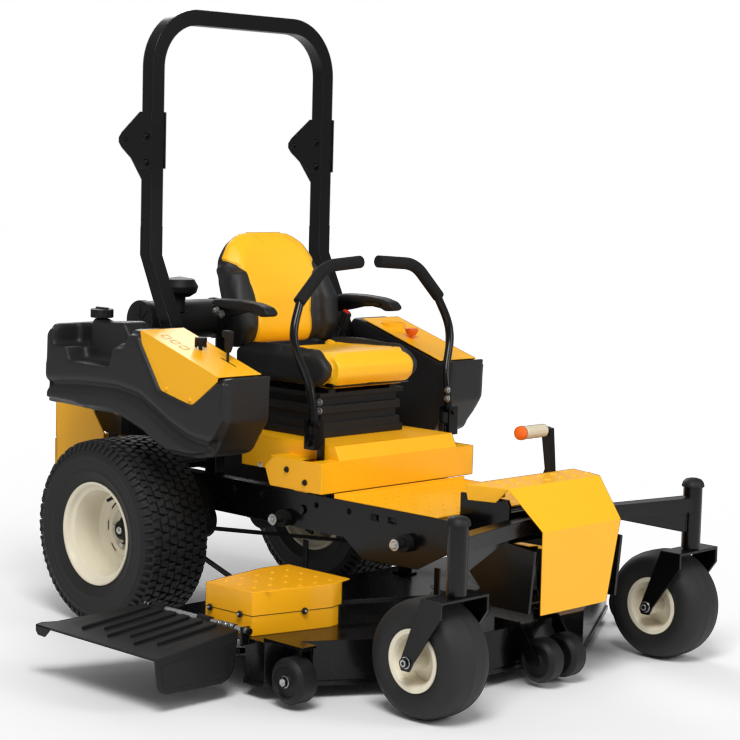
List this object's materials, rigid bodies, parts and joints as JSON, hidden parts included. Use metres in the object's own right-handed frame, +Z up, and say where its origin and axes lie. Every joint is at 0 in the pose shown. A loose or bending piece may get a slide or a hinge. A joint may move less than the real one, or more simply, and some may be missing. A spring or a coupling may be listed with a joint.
{
  "type": "riding lawn mower",
  "caption": "Zero-turn riding mower with lap bars, folding roll-over hoop, moulded side tanks, side-discharge deck, pivoting front axle and swivelling casters.",
  "frame": {"origin": "centre of the footprint on the ground", "axes": "+X forward, +Y to the operator's left, +Z up"},
  "size_m": [2.167, 1.89, 1.96],
  "materials": {
    "black_paint": "satin black powder coat",
    "yellow_paint": "satin yellow powder coat",
    "engine_metal": "cast",
    "black_plastic": "textured",
    "tank_plastic": "rotomoulded, textured",
    "cast_metal": "machined and cast",
    "zinc": "zinc plated",
    "cream_paint": "gloss cream paint",
    "tyre_rubber": "matt",
    "belt_rubber": "matt",
    "seat_vinyl": "yellow and black vinyl",
    "foam": "foam grip",
    "orange_plastic": "moulded",
    "blade_steel": "sharpened steel"
  },
  "bodies": {
    "chassis": {"main_frame": "black_paint", "rear_guard": "yellow_paint", "rops_base": "black_paint", "engine_block": "engine_metal", "engine_shroud": "black_plastic", "air_cleaner": "black_plastic", "muffler": "cast_metal", "battery": "black_plastic", "hydro_drives": "engine_metal", "fuel_tank_right": "tank_plastic", "fuel_tank_left": "tank_plastic", "console_right": "yellow_paint", "console_left": "yellow_paint", "cowl": "yellow_paint", "foot_plate": "yellow_paint", "front_cover": "yellow_paint", "frame_hardware": "zinc", "seat_suspension": "black_plastic"},
    "hoop": {"rops_hoop": "black_paint"},
    "clutch": {"engine_clutch": "cast_metal"},
    "cap_right": {"fuel_cap_right": "black_plastic"},
    "cap_left": {"fuel_cap_left": "black_plastic"},
    "throttle": {"throttle_lever": "black_plastic"},
    "choke": {"choke_knob": "black_plastic"},
    "pto_switch": {"pto_knob": "orange_plastic"},
    "seat": {"seat_cushion": "seat_vinyl", "seat_back": "seat_vinyl"},
    "arm_right": {"armrest_right": "foam"},
    "arm_left": {"armrest_left": "foam"},
    "wheel_right": {"rear_tyre_right": "tyre_rubber", "rear_rim_right": "cream_paint"},
    "wheel_left": {"rear_tyre_left": "tyre_rubber", "rear_rim_left": "cream_paint"},
    "axle": {"front_axle": "black_paint"},
    "fork_right": {"caster_fork_right": "black_paint"},
    "fork_left": {"caster_fork_left": "black_paint"},
    "caster_right": {"caster_tyre_right": "tyre_rubber", "caster_rim_right": "cream_paint"},
    "caster_left": {"caster_tyre_left": "tyre_rubber", "caster_rim_left": "cream_paint"},
    "deck": {"deck_shell": "black_paint", "spindle_covers": "yellow_paint", "spindle_housings": "cast_metal", "deck_hardware": "black_paint", "deck_belt": "belt_rubber"},
    "chute": {"discharge_chute": "black_plastic"},
    "cutter_right": {"blade_right": "blade_steel"},
    "cutter_centre": {"blade_centre": "blade_steel"},
    "cutter_left": {"blade_left": "blade_steel"},
    "scalp_right": {"scalp_wheel_right": "black_plastic"},
    "scalp_left": {"scalp_wheel_left": "black_plastic"},
    "scalp_front": {"scalp_wheels_front": "black_plastic"},
    "pivot_right": {"lap_pivot_right": "black_paint"},
    "pivot_left": {"lap_pivot_left": "black_paint"},
    "bar_right": {"lap_bar_right": "black_paint", "lap_grip_right": "foam"},
    "bar_left": {"lap_bar_left": "black_paint", "lap_grip_left": "foam"},
    "lever": {"lift_pedal": "black_paint"},
    "lift": {"lift_shaft": "black_paint"}
  },
  "joints": [
    {"name": "rear_wheel_right_turn", "type": "hinge", "parent": "chassis", "child": "wheel_right", "pos_m": [-0.4835, -0.324, 0.298], "axis": [0, 1, 0], "continuous": true},
    {"name": "rear_wheel_left_turn", "type": "hinge", "parent": "chassis", "child": "wheel_left", "pos_m": [-0.4835, 0.622, 0.298], "axis": [0, 1, 0], "continuous": true},
    {"name": "front_axle_tilt", "type": "hinge", "parent": "chassis", "child": "axle", "pos_m": [0.9345, 0.149, 0.485], "axis": [1, 0, 0], "range_deg": [-5, 5]},
    {"name": "caster_right_swivel", "type": "hinge", "parent": "axle", "child": "fork_right", "pos_m": [1.0065, -0.381, 0.43], "axis": [0, 0, 1], "continuous": true},
    {"name": "caster_right_roll", "type": "hinge", "parent": "fork_right", "child": "caster_right", "pos_m": [0.9185, -0.381, 0.165], "axis": [0, 1, 0], "continuous": true},
    {"name": "caster_left_swivel", "type": "hinge", "parent": "axle", "child": "fork_left", "pos_m": [1.0065, 0.679, 0.43], "axis": [0, 0, 1], "continuous": true},
    {"name": "caster_left_roll", "type": "hinge", "parent": "fork_left", "child": "caster_left", "pos_m": [0.9185, 0.679, 0.165], "axis": [0, 1, 0], "continuous": true},
    {"name": "rops_fold", "type": "hinge", "parent": "chassis", "child": "hoop", "pos_m": [-0.5885, 0.149, 1.54], "axis": [0, -1, 0], "range_deg": [0, 150]},
    {"name": "seat_slide", "type": "slide", "parent": "chassis", "child": "seat", "axis": [1, 0, 0], "range_m": [-0.06, 0.06]},
    {"name": "armrest_right_lift", "type": "hinge", "parent": "seat", "child": "arm_right", "pos_m": [-0.2935, -0.101, 1.008], "axis": [0, -1, 0], "range_deg": [0, 80]},
    {"name": "armrest_left_lift", "type": "hinge", "parent": "seat", "child": "arm_left", "pos_m": [-0.2935, 0.399, 1.008], "axis": [0, -1, 0], "range_deg": [0, 80]},
    {"name": "lap_right_drive", "type": "hinge", "parent": "chassis", "child": "pivot_right", "pos_m": [0.2105, -0.151, 0.645], "axis": [0, 1, 0], "range_deg": [-7, 14]},
    {"name": "lap_right_swing", "type": "hinge", "parent": "pivot_right", "child": "bar_right", "pos_m": [0.2105, -0.151, 0.7], "axis": [1, 0, 0], "range_deg": [0, 32]},
    {"name": "lap_left_drive", "type": "hinge", "parent": "chassis", "child": "pivot_left", "pos_m": [0.2105, 0.449, 0.645], "axis": [0, 1, 0], "range_deg": [-7, 14]},
    {"name": "lap_left_swing", "type": "hinge", "parent": "pivot_left", "child": "bar_left", "pos_m": [0.2105, 0.449, 0.7], "axis": [-1, 0, 0], "range_deg": [0, 32]},
    {"name": "deck_lift", "type": "slide", "parent": "chassis", "child": "deck", "axis": [0, 0, 1], "range_m": [0, 0.09], "deforming": ["deck_belt"]},
    {"name": "lift_shaft_turn", "type": "hinge", "parent": "chassis", "child": "lift", "pos_m": [0.1565, 0.149, 0.435], "axis": [0, 1, 0], "range_deg": [0, 60]},
    {"name": "lift_lever_pull", "type": "hinge", "parent": "chassis", "child": "lever", "pos_m": [0.6815, 0.329, 0.44], "axis": [0, -1, 0], "range_deg": [0, 22]},
    {"name": "chute_fold", "type": "hinge", "parent": "deck", "child": "chute", "pos_m": [0.2165, -0.63, 0.189], "axis": [-1, 0, 0], "range_deg": [0, 80]},
    {"name": "clutch_spin", "type": "hinge", "parent": "chassis", "child": "clutch", "pos_m": [-0.7385, 0.149, 0.23], "axis": [0, 0, 1], "continuous": true},
    {"name": "blade_centre_spin", "type": "hinge", "parent": "deck", "child": "cutter_centre", "pos_m": [0.5265, 0.149, 0.1], "axis": [0, 0, 1], "continuous": true},
    {"name": "blade_right_spin", "type": "hinge", "parent": "deck", "child": "cutter_right", "pos_m": [0.3065, -0.336, 0.1], "axis": [0, 0, 1], "continuous": true},
    {"name": "blade_left_spin", "type": "hinge", "parent": "deck", "child": "cutter_left", "pos_m": [0.3065, 0.634, 0.1], "axis": [0, 0, 1], "continuous": true},
    {"name": "scalp_right_roll", "type": "hinge", "parent": "deck", "child": "scalp_right", "pos_m": [0.6225, -0.601, 0.08], "axis": [0, 1, 0], "continuous": true},
    {"name": "scalp_left_roll", "type": "hinge", "parent": "deck", "child": "scalp_left", "pos_m": [0.6225, 0.899, 0.08], "axis": [0, 1, 0], "continuous": true},
    {"name": "scalp_front_roll", "type": "hinge", "parent": "deck", "child": "scalp_front", "pos_m": [0.9165, 0.149, 0.08], "axis": [0, 1, 0], "continuous": true},
    {"name": "fuel_cap_right_lift", "type": "slide", "parent": "chassis", "child": "cap_right", "axis": [0, 0, 1], "range_m": [0, 0.12]},
    {"name": "fuel_cap_left_lift", "type": "slide", "parent": "chassis", "child": "cap_left", "axis": [0, 0, 1], "range_m": [0, 0.12]},
    {"name": "throttle_swing", "type": "hinge", "parent": "chassis", "child": "throttle", "pos_m": [-0.0185, -0.2955, 0.84], "axis": [0, 1, 0], "range_deg": [-20, 20]},
    {"name": "choke_pull", "type": "slide", "parent": "chassis", "child": "choke", "axis": [0, 0, 1], "range_m": [0, 0.02]},
    {"name": "pto_pull", "type": "slide", "parent": "chassis", "child": "pto_switch", "axis": [0, 0, 1], "range_m": [0, 0.012]}
  ],
  "couplings": [
    {"joint": "lift_shaft_turn", "follows": "deck_lift", "rad_per_m": 11.63},
    {"joint": "lift_lever_pull", "follows": "deck_lift", "rad_per_m": 4.26},
    {"joint": "blade_right_spin", "follows": "blade_centre_spin", "ratio": 1},
    {"joint": "blade_left_spin", "follows": "blade_centre_spin", "ratio": 1},
    {"joint": "clutch_spin", "follows": "blade_centre_spin", "ratio": 1}
  ]
}
